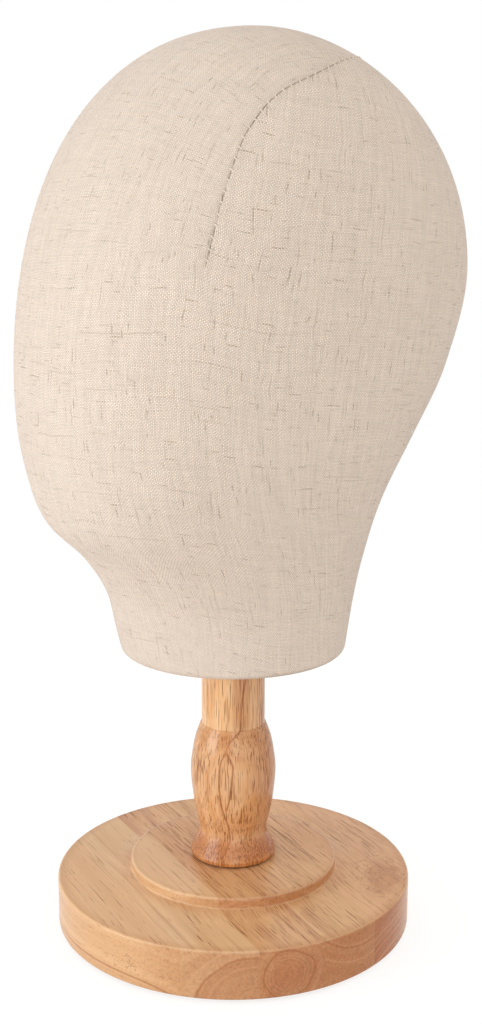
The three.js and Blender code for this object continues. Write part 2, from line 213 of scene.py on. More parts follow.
def bend_through(points, count):
    """Smooth line through points of any width."""
    points = np.asarray(points, float)
    x = np.arange(len(points), dtype=float)
    slope = np.gradient(points, axis=0)
    return hermite(x, points, slope, np.linspace(0, len(points) - 1, count))


# The head's surface


def dome(height, widest, power):
    """Share of the full reach left at a height, from 1 at the widest place to 0 at the crown."""
    climb = np.clip((height - widest) / (HEAD_HEIGHT - widest), 0, 1)
    return (1 - climb**power) ** (1 / power)


def reach(outline, widest, height, crown):
    """Reach at a height: the outline up to the widest place, and a dome from there to the crown."""
    x, y = np.array([(0, NECK_RADIUS), *outline, widest[:2]], float).T
    slope = np.zeros(len(x))
    slope[0] = (y[1] - y[0]) / (x[1] - x[0])
    slope[1:-1] = (y[2:] - y[:-2]) / (x[2:] - x[:-2])
    below = hermite(x, y, slope, np.clip(height, 0, widest[0]))
    above = crown + (widest[1] - crown) * dome(height, widest[0], widest[2])
    return np.where(height <= widest[0], below, above)


def head_point(height, angle):
    """Point of the head at a height and an angle from the face towards the left side."""
    height, angle = np.broadcast_arrays(np.asarray(height, float), np.asarray(angle, float))
    skull = dome(height, TEMPLE[0], 2)
    squared = smoothstep(height, *SQUARED) * dome(height, WIDEST_MOVES[1], 2)
    front = reach(FRONT_OUTLINE, FACE, height, -CROWN_BACK)
    back = reach(BACK_OUTLINE, OCCIPUT, height, CROWN_BACK)
    side = reach(SIDE_OUTLINE, TEMPLE, height, 0)
    middle = -CROWN_BACK + (CROWN_BACK - WIDEST_BACK * smoothstep(height, *WIDEST_MOVES)) * skull
    forward, left = np.cos(angle), np.sin(angle)
    power = 2 + squared * np.where(forward > 0, FRONT_SQUARENESS, BACK_SQUARENESS)
    ring = (np.abs(forward) ** power + np.abs(left) ** power) ** (-1 / power)
    depth = np.where(forward > 0, front - middle, back + middle)
    return np.stack([side * ring * left, -middle - depth * ring * forward, height], -1)


def inset_point(height, angle, inset):
    """The head's surface moved inwards, level near the neck's lower edge."""
    point = head_point(height, angle)
    around = head_point(height, angle + 0.01) - head_point(height, angle - 0.01)
    up = head_point(height + 0.5, angle) - head_point(max(height - 0.5, 0), angle)
    inward = np.cross(up, around)
    inward /= np.linalg.norm(inward, axis=-1, keepdims=True)
    inward[..., 2] *= smoothstep(point[..., 2], *INSET_TURNS)
    return point + inward / np.linalg.norm(inward, axis=-1, keepdims=True) * inset


def ring_heights(low_rings, high_rings):
    low = np.linspace(0, 1, low_rings + 1)[1:] * FACE[0]
    turn = np.linspace(0, 1, high_rings + 1)[1:-1] * math.pi / 2
    return np.concatenate([low, FACE[0] + (HEAD_HEIGHT - FACE[0]) * np.sin(turn)])


def linen_shell():
    """Closed skin of the cover and how far each point belongs to its outside, from 0 to 1."""
    angles = np.arange(HEAD_SIDES) / HEAD_SIDES * 2 * math.pi
    circle = np.stack([np.sin(angles), -np.cos(angles), np.zeros(HEAD_SIDES)], -1)
    inner = [z for z in ring_heights(*INNER_RINGS)[::-1] if z > LINEN * 3]
    rings = [inset_point(z, angles, LINEN) for z in (*inner, LINEN)]
    rings += [circle * radius + (0, 0, LINEN) for radius in (44.0, 39.6, HEM_RADIUS)]
    inside = len(rings)
    rings += [circle * radius for radius in (HEM_RADIUS, *HEM_RINGS)]
    for turn in np.linspace(0, math.pi / 2, 9):
        height = NECK_EDGE * (1 - math.cos(turn))
        ring = inset_point(height, angles, NECK_EDGE * (1 - math.sin(turn)))
        ring[:, 2] = height
        rings.append(ring)
    rings += [head_point(z, angles) for z in ring_heights(*OUTER_RINGS) if z > NECK_EDGE + 0.3]
    count = len(rings)
    poles = np.array([(0, CROWN_BACK, HEAD_HEIGHT - LINEN), (0, CROWN_BACK, HEAD_HEIGHT)])
    outer = np.concatenate([np.zeros(inside * HEAD_SIDES),
                            np.ones((count - inside) * HEAD_SIDES), [0, 1]])
    faces = []
    for k in range(HEAD_SIDES):
        n = (k + 1) % HEAD_SIDES
        faces.append((count * HEAD_SIDES, n, k))
        for i in range(count - 1):
            a, b = i * HEAD_SIDES, (i + 1) * HEAD_SIDES
            faces.append((a + k, a + n, b + n, b + k))
        last = (count - 1) * HEAD_SIDES
        faces.append((last + k, last + n, count * HEAD_SIDES + 1))
    return np.concatenate([*rings, poles]), faces, outer


# The linen's seams and weave


def seam_lines():
    """The two darts joined behind the crown, and the closing seam down to the hem."""
    left = bend_through(DART, 400)
    height, turn = np.concatenate([left, (left * (1, -1))[-2::-1]]).T
    over = head_point(height, np.radians(turn))
    back = head_point(np.linspace(DART[-1][0], NECK_EDGE, 500), np.full(500, math.pi))
    under = [(0, radius, 0) for radius in np.linspace(NECK_RADIUS - NECK_EDGE, HEM_RADIUS, 20)]
    return evenly(over, SEAM_STEP), evenly(np.concatenate([back, under]), SEAM_STEP)


def tree_of(points):
    tree = KDTree(len(points))
    for i, point in enumerate(points):
        tree.insert(point, i)
    tree.balance()
    return tree


def beside(line, points, normals):
    """For points on a surface with a line on it: offset from the line to its left, distance from
    it, and place along it. The line's ends go on straight for the offset and the place."""
    tree = tree_of(line)
    index = np.array([tree.find(point)[1] for point in points])
    tangent = directions(line)[index]
    gap = points - line[index]
    offset = (gap * np.cross(normals, tangent)).sum(1)
    level = gap - (gap * normals).sum(1)[:, None] * normals
    run = (gap * tangent).sum(1)
    return offset, np.linalg.norm(level, axis=1), lengths_along(line)[index] + run


def refine_near(obj, lines, distance):
    """Splits the faces near the lines finer."""
    mesh = bmesh.new()
    mesh.from_mesh(obj.data)
    tree = tree_of(np.concatenate(lines) * MM)
    near = [edge for edge in mesh.edges
            if tree.find((edge.verts[0].co + edge.verts[1].co) / 2)[2] < distance * MM]
    bmesh.ops.subdivide_edges(mesh, edges=near, cuts=2, use_grid_fill=True)
    mesh.to_mesh(obj.data)
    mesh.free()


def turn_from_face(x, y):
    """Angle from the face to either side, from 0 to pi."""
    return np.abs(np.arctan2(x, TURN_AXIS - y))


def panel_yarns(points, side):
    """Places across the warp and the weft, in mm, on the side panels and on the top panel. On the
    sides the warp runs down and gets closer, and the weft sinks towards the back."""
    x, y, z = points.T
    angle = turn_from_face(x, y)
    radius = np.hypot(x, y - TURN_AXIS)
    neck = 1 - smoothstep(z, 20, 120)
    slant = smoothstep(angle, 0, 0.9) * (1 - smoothstep(angle, 2.0, 3.0))
    around = (angle + 0.08 * np.sin(2 * angle)) * (52 + 0.17 * radius - 0.3 * (78 - radius) * neck)
    side_warp = side * (around - slant * (0.06 * (z - 110) + 1.5 * smoothstep(z, 120, 200)))
    side_weft = z + 14 * smoothstep(angle, 0, 1.3) + 1.8 * angle ** 2
    across_radius, half_width = TOP_WIDTH
    top_warp = across_radius * np.arcsin(np.clip(x / half_width, -1, 1))
    bend, bend_radius, bend_back = TOP_BEND
    over_crown = bend + bend_radius * np.arctan2(z - bend, bend_back - y)
    return side_warp, side_weft, top_warp, np.where(z > bend, over_crown, z)


def yarn_places(points, side, in_top):
    """Both panels' places, which agree at the dart's point, blended by the share of the top."""
    side_warp, side_weft, top_warp, top_weft = panel_yarns(points, side)
    tip = head_point(DART[0][0], math.radians(DART[0][1]))[None]
    tip_side_warp, tip_side_weft, tip_top_warp, tip_top_weft = panel_yarns(tip, 1.0)
    top_warp *= tip_side_warp / tip_top_warp
    top_weft += tip_side_weft - tip_top_weft
    return (side_warp + (top_warp - side_warp) * in_top,
            side_weft + (top_weft - side_weft) * in_top)


def weave_onto(mesh, points, over, centre, face_normal, offset):
    """Yarn places by face corner, so that they jump at a seam and nowhere else. Below a dart's
    point the top panel's places turn into the side panel's over a width that grows downwards."""
    corner = read(mesh.loops, "vertex_index", 1, np.int32)
    sizes = read(mesh.polygons, "loop_total", 1, np.int32)
    face = np.repeat(np.arange(len(sizes)), sizes)
    face_offset, _, face_along = beside(over, centre, face_normal)
    to_end = np.minimum(face_along, lengths_along(over)[-1] - face_along)
    below = np.maximum(-to_end, 0)[face]
    soft = smoothstep(offset[corner], -0.9 * below - 0.001, 0.9 * below + 0.001)
    x, y, _ = points[corner].T
    soft *= 1 - smoothstep(turn_from_face(x, y), 1.5, 2.6)
    in_top = np.where(below > 0, soft, (face_offset > 0)[face])
    side = np.where(centre[:, 0] < 0, -1.0, 1.0)[face]
    places = np.stack(yarn_places(points[corner], side, in_top), 1)
    mesh.uv_layers.new(name="cloth").data.foreach_set("uv", places.astype(np.float32).ravel())


def make_linen():
    points, faces, outer = linen_shell()
    skin = new_object("linen_skin", points, faces)
    mesh = skin.data
    store(mesh, "outer", outer)
    over, back = seam_lines()
    refine_near(skin, (over, back), SEAM_REFINED)

    points = read(mesh.vertices, "co", 3).astype(float) / MM
    normals = read(mesh.vertex_normals, "vector", 3).astype(float)
    centre = read(mesh.polygons, "center", 3).astype(float) / MM
    face_normal = read(mesh.polygons, "normal", 3).astype(float)
    outer = read(mesh.attributes["outer"].data, "value", 1)
    offset, distance, along = beside(over, points, normals)
    _, back_distance, back_along = beside(back, points, normals)
    to_end = np.minimum(along, lengths_along(over)[-1] - along)
    on_back = back_distance < distance
    near = np.where(on_back, back_distance, distance)
    # A dart starts softly at its point and is fainter behind the crown
    dart_fade = smoothstep(to_end, -1.5, 3) * (1 - 0.6 * smoothstep(to_end, 100, 128))
    fade = np.where(on_back, 1, dart_fade)

    # A groove at the seam and a low swell on both sides of it
    depth = (GROOVE[0] * np.exp(-(near / GROOVE[1]) ** 2)
             - SEAM_SWELL[0] * np.exp(-(near / SEAM_SWELL[1]) ** 2))
    depth *= fade * (outer > 0.99) * (near < SEAM_REACH)
    moved = points - normals * depth[:, None] + (0, 0, NECK_Z)
    mesh.vertices.foreach_set("co", (moved * MM).astype(np.float32).ravel())
    store(mesh, "seam_distance", np.minimum(near, SEAM_REACH))
    store(mesh, "seam_along", np.where(on_back, back_along, along))
    store(mesh, "seam_fade", fade)
    weave_onto(mesh, points, over, centre, face_normal, offset)
    mesh.update()
    smooth(skin, 60)
    return skin, (over, back)


def tube(line, radius, sides):
    """Closed tube along a line, drawn in at its ends."""
    tangent = directions(line)
    first = np.cross(tangent, (0.31, 0.52, 0.8))  # no thread runs this way
    first /= np.linalg.norm(first, axis=1, keepdims=True)
    second = np.cross(tangent, first)
    turn = np.arange(sides) / sides * 2 * math.pi
    at_end = (np.arange(len(line)) % (len(line) - 1)) == 0
    size = radius * np.where(at_end, THREAD_ENDS, 1)
    rings = (line[:, None] + size[:, None, None]
             * (first[:, None] * np.cos(turn)[None, :, None]
                + second[:, None] * np.sin(turn)[None, :, None]))
    faces = [tuple(range(sides))[::-1], tuple(range((len(line) - 1) * sides, len(line) * sides))]
    for i in range(len(line) - 1):
        for k in range(sides):
            n = (k + 1) % sides
            faces.append((i * sides + k, i * sides + n, (i + 1) * sides + n, (i + 1) * sides + k))
    return rings.reshape(-1, 3), faces


def make_stitches(lines):
    """Thread that crosses the seams, one short bow for each stitch."""
    points, faces, count = [], [], 0
    rise, drop = STITCH_BOW
    for line in lines:
        length = lengths_along(line)
        tangent = directions(line)
        for at in np.arange(STITCH * 0.5, length[-1], STITCH):
            i = min(int(np.searchsorted(length, at)), len(line) - 1)
            middle = line[i]
            if middle[2] < 3:  # the hem has no stitches
                continue
            out = middle - (*SKULL_MIDDLE[:2], min(middle[2], SKULL_MIDDLE[2]))
            out -= tangent[i] * (out @ tangent[i])
            out /= np.linalg.norm(out)
            across = np.cross(out, tangent[i]) + STITCH_SLANT * tangent[i]
            share = np.linspace(-1, 1, 5)[:, None]
            bow = middle + across * STITCH_HALF * share + out * (rise - drop * share**2)
            ring_points, ring_faces = tube(bow + (0, 0, NECK_Z), THREAD_RADIUS, 6)
            points.append(ring_points)
            faces += [tuple(n + count for n in f) for f in ring_faces]
            count += len(ring_points)
    thread = new_object("seam_thread", np.concatenate(points), faces)
    smooth(thread, 50)
    return thread


# Turned wood


def turned_mesh(outline, sides):
    """Lathe of (radius, height) points. A radius of 0 becomes one point."""
    points, rings, faces = [], [], []
    for radius, height in outline:
        if radius < 1e-6:
            rings.append([len(points)] * sides)
            points.append((0, 0, height))
            continue
        rings.append(list(range(len(points), len(points) + sides)))
        for k in range(sides):
            turn = k / sides * 2 * math.pi
            points.append((radius * math.cos(turn), radius * math.sin(turn), height))
    for low, high in zip(rings, rings[1:]):
        for k in range(sides):
            n = (k + 1) % sides
            corners = (low[k], low[n], high[n], high[k])
            faces.append(tuple(dict.fromkeys(corners)))
    return points, faces


def drawn_on(outline, line):
    """Smooth line through (height, degrees) points on a turned shape."""
    heights, radii = np.array([(z, r) for r, z in outline]).T
    height, turn = bend_through(line, 12 * len(line)).T
    radius, turn = np.interp(height, heights, radii), np.radians(turn)
    return np.stack([radius * np.cos(turn), radius * np.sin(turn), height], 1)


def arc(x, z, radius, start, end, steps):
    turns = np.radians(np.linspace(start, end, steps + 1))
    return [(x + radius * math.cos(t), z + radius * math.sin(t)) for t in turns]


def make_post():
    radius, depth = INSERT_HOLE
    drop = SHOULDER[0] - STEM_RADIUS
    outline = [(0, depth), (radius, depth), (radius, 0), *FOOT_EDGE,
               *[tuple(p) for p in bend_through(POST_SWELL, 170)],
               (STEM_RADIUS + 0.12, SHOULDER[1] + drop * 0.55), (STEM_RADIUS, SHOULDER[1] + drop),
               *[(STEM_RADIUS, z) for z in np.linspace(SHOULDER[1] + 1, POST_TOP - 1.5, 100)],
               (STEM_RADIUS - 0.4, POST_TOP - 0.6), (STEM_RADIUS - 1.5, POST_TOP), (0, POST_TOP)]
    points, faces = turned_mesh(outline, POST_SIDES)
    post = new_object("wood_post", np.array(points) + (0, 0, POST_Z), faces)
    drawn = np.concatenate([drawn_on(outline[3:-1], line) for line in GROWTH_LINES])
    tree = tree_of(drawn)
    store(post.data, "growth_line", [min(tree.find(p)[2], GROWTH_REACH) for p in points])
    smooth(post, 30)
    return post


def base_outline():
    rim = [(r, RIM_HEIGHT + rise) for r, rise in bend_through(RIM_RISE, 16)]
    foot_z = RIM_HEIGHT + STEP_FOOT_RISE + STEP_FOOT
    return [(BORE_RADIUS, POCKET_DEPTH), (POCKET_RADIUS, POCKET_DEPTH), (POCKET_RADIUS, 0),
            (40, 0), *arc(BASE_RADIUS - RIM_ROUND, RIM_ROUND, RIM_ROUND, -90, 0, 6),
            (BASE_RADIUS, 7), (BASE_RADIUS, 14),
            *arc(BASE_RADIUS - RIM_ROUND, RIM_HEIGHT - RIM_ROUND, RIM_ROUND, 0, 90, 8),
            (70, RIM_HEIGHT), *rim,
            *arc(STEP_RADIUS + STEP_FOOT, foot_z, STEP_FOOT, 255, 180, 6),
            *arc(STEP_RADIUS - STEP_ROUND, STEP_HEIGHT - STEP_ROUND, STEP_ROUND, 0, 90, 6),
            *[(r, STEP_HEIGHT) for r in (36, 24, 12, BORE_RADIUS)]]


def make_strips():
    """The turned base cut at its glue lines."""
    outline = base_outline()
    points, faces = turned_mesh(outline, BASE_SIDES)
    closing = (len(outline) - 1) * BASE_SIDES
    for k in range(BASE_SIDES):
        n = (k + 1) % BASE_SIDES
        faces.append((closing + k, closing + n, n, k))
    whole = new_object("base_whole", np.array(points) + (0, 0, BASE_Z), faces)
    turn = math.radians(GRAIN_TURN)
    across = Vector((-math.sin(turn), math.cos(turn), 0))
    edges = (-BASE_RADIUS - 5, *GLUE_LINES, BASE_RADIUS + 5)
    strips = []
    for number, (low, high) in enumerate(zip(edges, edges[1:]), 1):
        mesh = bmesh.new()
        mesh.from_mesh(whole.data)
        for place, out in ((low + GLUE_GAP / 2, -1), (high - GLUE_GAP / 2, 1)):
            cut = bmesh.ops.bisect_plane(
                mesh, geom=mesh.verts[:] + mesh.edges[:] + mesh.faces[:], dist=1e-7,
                plane_co=across * place * MM, plane_no=across * out, clear_outer=True)
            rim = [e for e in cut["geom_cut"] if isinstance(e, bmesh.types.BMEdge)]
            if rim:
                bmesh.ops.holes_fill(mesh, edges=[e for e in rim if e.is_boundary], sides=0)
        bmesh.ops.recalc_face_normals(mesh, faces=mesh.faces)
        data = bpy.data.meshes.new(f"wood_strip_{number}")
        mesh.to_mesh(data)
        mesh.free()
        strip = in_scene(data.name, data)
        smooth(strip, 30)
        strips.append(strip)
    bpy.data.objects.remove(whole)
    return strips


# Materials


def srgb(red, green, blue):
    """Colour written in 0 to 255 steps, as the shader wants it."""
    def line(c):
        c /= 255
        return c / 12.92 if c <= 0.04045 else ((c + 0.055) / 1.055) ** 2.4
    return (line(red), line(green), line(blue), 1)


WHITE = (1, 1, 1, 1)
PORE = srgb(134, 70, 24)
KNOT_AXES = ((0.838, -0.546, 16), (0.546, 0.838, 8.5))  # direction along and across the grain, mm


class Graph:
    """Nodes of a material or world. Inputs are numbers, colours or sockets."""

    def __init__(self, owner):
        owner.use_nodes = True
        self.owner = owner
        self.tree = owner.node_tree

    def feed(self, socket, value):
        if isinstance(value, bpy.types.NodeSocket):
            self.tree.links.new(value, socket)
        else:
            socket.default_value = value

    def add(self, kind, **settings):
        node = self.tree.nodes.new(kind)
        for key, value in settings.items():
            setattr(node, key, value)
        return node

    def finish(self, **inputs):
        shader = self.tree.nodes["Principled BSDF"]
        for name, value in inputs.items():
            self.feed(shader.inputs[name.replace("_", " ")], value)
        return self.owner

    def fill(self, node, *values):
        """Feeds a node's first inputs, and gives its first output."""
        for socket, value in zip(node.inputs, values):
            self.feed(socket, value)
        return node.outputs[0]

    def math(self, operation, *values):
        return self.fill(self.add("ShaderNodeMath", operation=operation), *values)

    def times(self, a, b):
        return self.math("MULTIPLY", a, b)

    def plus(self, a, b):
        return self.math("ADD", a, b)

    def minus(self, a, b):
        return self.math("SUBTRACT", a, b)

    def over(self, a, b):
        return self.math("DIVIDE", a, b)

    def most(self, a, b):
        return self.math("MAXIMUM", a, b)

    def dot(self, x, y, p, q):
        """x * p + y * q."""
        return self.plus(self.times(x, p), self.times(y, q))

    def distance(self, x, y):
        return self.math("SQRT", self.dot(x, y, x, y))

    def span(self, value, low, high):
        """0 at low and 1 at high, smooth between, also where low is above high."""
        node = self.add("ShaderNodeMapRange", interpolation_type="SMOOTHSTEP")
        return self.fill(node, value, low, high, 0, 1)

    def swing(self, value, size):
        """A noise value as a factor round 1."""
        return self.plus(self.times(self.minus(value, 0.5), 2 * size), 1)

    def mix(self, share, a, b):
        node = self.add("ShaderNodeMix", data_type="RGBA")
        for socket, value in zip((node.inputs[0], node.inputs[6], node.inputs[7]), (share, a, b)):
            self.feed(socket, value)
        return node.outputs[2]

    def shaded(self, colour, factor):
        node = self.add("ShaderNodeVectorMath", operation="SCALE")
        self.feed(node.inputs[0], colour)
        self.feed(node.inputs["Scale"], factor)
        return node.outputs[0]

    def vector(self, x, y, z=0):
        return self.fill(self.add("ShaderNodeCombineXYZ"), x, y, z)

    def parts(self, vector):
        node = self.add("ShaderNodeSeparateXYZ")
        self.feed(node.inputs[0], vector)
        return node.outputs

    def noise(self, vector, scale=1, detail=2, roughness=0.5):
        node = self.add("ShaderNodeTexNoise")
        for key, value in (("Vector", vector), ("Scale", scale), ("Detail", detail),
                           ("Roughness", roughness)):
            self.feed(node.inputs[key], value)
        return node.outputs[0]

    def drawn_noise(self, places, sizes, detail=2, roughness=0.5):
        """Noise drawn out to a size along each of three places."""
        cells = [self.over(place, size) for place, size in zip(places, sizes)]
        return self.noise(self.vector(*cells), 1, detail, roughness)

    def chance(self, x, y):
        """Random number from 0 to 1 that belongs to two whole numbers."""
        node = self.add("ShaderNodeTexWhiteNoise", noise_dimensions="2D")
        self.feed(node.inputs["Vector"], self.vector(x, y))
        return node.outputs[0]

    def place(self):
        """Place on the object, in mm."""
        node = self.add("ShaderNodeVectorMath", operation="SCALE")
        self.feed(node.inputs[0], self.add("ShaderNodeTexCoord").outputs["Object"])
        node.inputs["Scale"].default_value = 1 / MM
        return node.outputs[0]

    def kept(self, name):
        """Number kept for each vertex of the mesh."""
        return self.add("ShaderNodeAttribute", attribute_name=name).outputs["Fac"]

    def bump(self, height, distance_mm, strength=1):
        node = self.add("ShaderNodeBump")
        node.inputs["Distance"].default_value = distance_mm * MM
        node.inputs["Strength"].default_value = strength
        self.feed(node.inputs["Height"], height)
        return node.outputs[0]


def material_graph(name):
    return Graph(bpy.data.materials.new(name))


def linen_material():
    g = material_graph("linen")
    u, v, _ = g.parts(g.add("ShaderNodeUVMap", uv_map="cloth").outputs[0])
    u = g.plus(u, g.times(g.noise(g.vector(u, v), 0.07, 3, 0.6), 3.2))
    v = g.plus(v, g.times(g.noise(g.vector(v, u, 50), 0.07, 3, 0.6), 3.2))
    warp, weft = g.over(u, WARP), g.over(v, WEFT)
    warp_yarn, weft_yarn = g.math("ROUND", warp), g.math("ROUND", weft)

    def along_yarn(yarn, place, seed, length):
        """Noise that belongs to one yarn and changes along it."""
        own = g.chance(yarn, seed)
        run = g.plus(g.over(place, length), g.times(own, 531))
        return g.noise(g.vector(g.times(own, 89), run, seed), 1, 2, 0.55)

    warp_body = along_yarn(warp_yarn, v, 11.0, 26)
    weft_body = along_yarn(weft_yarn, u, 37.0, 16)

    # Plain weave: each yarn goes over and under the next
    turns = (g.math("COSINE", g.times(warp, math.pi)), g.math("COSINE", g.times(weft, math.pi)))
    over = g.span(g.times(*turns), -0.5, 0.5)
    under = g.minus(1, over)
    warp_round, weft_round = (g.times(turn, turn) for turn in turns)
    height = g.plus(g.times(g.times(warp_round, over), g.swing(warp_body, 0.8)),
                    g.times(g.times(weft_round, under), g.swing(weft_body, 0.7)))
    hollow = g.times(g.minus(1, warp_round), g.minus(1, weft_round))

    # Slubs: short thick darker stretches of single yarns, hidden where the yarn goes under
    def slubs(yarn, place, seed, shown, middle):
        short = g.span(along_yarn(yarn, place, seed, 10), 0.615, 0.74)
        long = g.times(g.span(along_yarn(yarn, place, seed + 20, 32), 0.645, 0.72), 0.5)
        return g.times(g.times(g.most(short, long), g.plus(g.times(shown, 0.6), 0.4)),
                       g.span(middle, 0.1, 0.7))

    slub = g.most(slubs(warp_yarn, v, 71.0, over, warp_round),
                  slubs(weft_yarn, u, 97.0, under, weft_round))

    tone = g.mix(g.noise(g.place(), 0.02, 3), srgb(241, 224, 209), srgb(235, 217, 202))
    tone = g.shaded(tone, g.plus(g.times(over, 0.24), 0.91))
    tone = g.shaded(tone, g.swing(g.span(warp_body, 0.3, 0.7), 0.06))
    tone = g.shaded(tone, g.swing(g.span(weft_body, 0.3, 0.7), 0.04))
    crossing = g.chance(warp_yarn, weft_yarn)
    gap = g.plus(g.times(g.times(crossing, crossing), -0.8), -0.2)
    tone = g.shaded(tone, g.plus(g.times(hollow, gap), 1.03))
    tone = g.shaded(tone, g.swing(crossing, 0.11))
    tone = g.mix(g.times(slub, 0.76), tone, srgb(142, 114, 80))

    # Seam: a thin painted shadow line in the seam's groove, broken by the stitches
    distance, along, fade = (g.kept(n) for n in ("seam_distance", "seam_along", "seam_fade"))
    phase = g.math("FRACT", g.over(along, STITCH))
    stitch = g.span(g.math("ABSOLUTE", g.minus(phase, 0.5)), 0.11, 0.04)
    width = g.plus(g.times(g.noise(g.place(), 0.55, 2, 0.6), 0.3), 0.22)
    line = g.times(g.times(g.span(distance, width, g.times(width, 0.3)), fade),
                   g.minus(1, g.times(stitch, 0.5)))
    # Painted shade: a little darker within a few mm of the seam
    tone = g.shaded(tone, g.plus(g.times(g.span(distance, 3.4, 0.5), g.times(fade, -0.05)), 1))
    tone = g.mix(g.times(line, 0.72), tone, srgb(120, 101, 78))

    relief = g.plus(g.plus(height, g.times(slub, 0.3)), g.times(line, -1.6))
    return g.finish(Base_Color=tone, Roughness=0.92, Specular_IOR_Level=0.18, Sheen_Weight=0.12,
                    Sheen_Roughness=0.5, Normal=g.bump(relief, 0.12, 0.8))


def thread_material():
    g = material_graph("linen_thread")
    twist = g.noise(g.place(), 3.0, 2)
    tone = g.mix(twist, srgb(248, 240, 228), srgb(232, 220, 204))
    return g.finish(Base_Color=tone, Roughness=0.85, Specular_IOR_Level=0.2,
                    Normal=g.bump(twist, 0.05))


class Wood(Graph):
    """Rubberwood. The post and the strips differ in their grain, pores, lacquer, own marks and
    painted light and shade.
    """

    ring_share = 0.5
    pore_share = 0.66
    pores_lost_at_end = 0.4
    coat = 0.48
    lacquer = srgb(172, 96, 48)

    def __init__(self, name, seed):
        super().__init__(bpy.data.materials.new(name))
        self.seed = seed
        self.x, self.y, self.z = self.parts(self.place())
        self.nx, self.ny, self.nz = self.parts(self.add("ShaderNodeTexCoord").outputs["Normal"])
        self.from_axis = self.distance(self.x, self.y)
        self.along, self.a, self.b, facing = self.grain()
        self.end = self.end_grain(self.math("ABSOLUTE", facing))

    def stretched(self, lengthwise, crosswise, offset, detail=2, roughness=0.5):
        """Noise of the given size in mm along and across the grain."""
        along = self.plus(self.over(self.along, lengthwise), self.seed * 7.31 + offset)
        vector = self.vector(along, self.over(self.a, crosswise), self.over(self.b, crosswise))
        return self.noise(vector, 1, detail, roughness)

    def marked(self, light, dark, rings, pores, heart, soak, line=None, knot=None):
        """The finished material. light and dark are its tones, rings the tree's centre across
        the grain in mm, pores how many show, heart how much of the pinkish darker wood there is,
        and soak how far end grain takes the lacquer's colour. line is the radius of a dark
        growth ring, and knot the place along and across the grain of a curly spot."""
        sway = self.times(self.minus(self.stretched(70, 26, 0.0), 0.5), 9)
        radius = self.distance(self.minus(self.plus(self.a, sway), rings[0]),
                               self.minus(self.b, rings[1]))
        growth = self.noise(self.vector(self.over(radius, 3.2), self.seed * 3.1), 1, 3, 0.6)
        pale_ring = self.noise(self.vector(self.over(radius, 1.5), self.seed * 5.7), 1, 2, 0.6)
        fibre = self.stretched(28, 0.55, 3.0, 3, 0.6)
        streak = self.span(self.stretched(90, 1.6, 31.0, 2, 0.5), 0.56, 0.72)
        patch = self.span(self.stretched(110, 22, 9.0, 3, 0.55),
                          0.72 - heart * 0.45, 0.86 - heart * 0.45)
        limit = self.plus(self.times(self.stretched(50, 12, 17.0), -0.34), 0.885 - pores * 0.11)
        pore = self.times(self.span(self.pore_dashes(), limit, self.plus(limit, 0.05)),
                          self.minus(1, self.times(self.end, self.pores_lost_at_end)))

        tone = self.mix(self.span(growth, 0.3, 0.7), light, dark)
        tone = self.mix(self.times(patch, 0.45), tone, srgb(192, 132, 98))
        tone = self.mix(self.times(streak, 0.3), tone, srgb(176, 112, 66))
        ring = self.times(self.dark_ring(radius, line), self.ring_share)
        tone = self.mix(ring, tone, srgb(150, 86, 44))
        tone = self.shaded(tone, self.swing(fibre, 0.14))

        soaked = self.soaked(self.times(self.end, soak))
        end = self.end
        if knot:
            soaked, pore, end = self.knotted(knot, soaked, pore, end)
        mottle = self.noise(self.place(), 0.7, 3, 0.75)
        tone = self.mix(soaked, tone, self.lacquer)
        tone = self.shaded(tone, self.plus(self.times(end, self.times(self.minus(mottle, 0.5),
                                                                      0.8)), 1))
        tone = self.mix(self.times(self.times(end, self.span(pale_ring, 0.5, 0.72)), 0.26), tone,
                        srgb(236, 184, 142))
        tone = self.worked(tone, fibre)
        tone = self.mix(self.times(pore, self.pore_share), tone, PORE)
        relief = self.plus(self.times(fibre, 0.3), self.times(pore, -1))
        rough = self.plus(self.plus(self.times(fibre, 0.12), self.times(pore, 0.25)), 0.4)
        return self.finish(Base_Color=tone, Roughness=rough, Specular_IOR_Level=0.1,
                           Coat_Weight=self.coat, Coat_Roughness=0.16,
                           Normal=self.bump(relief, 0.12, 0.6))


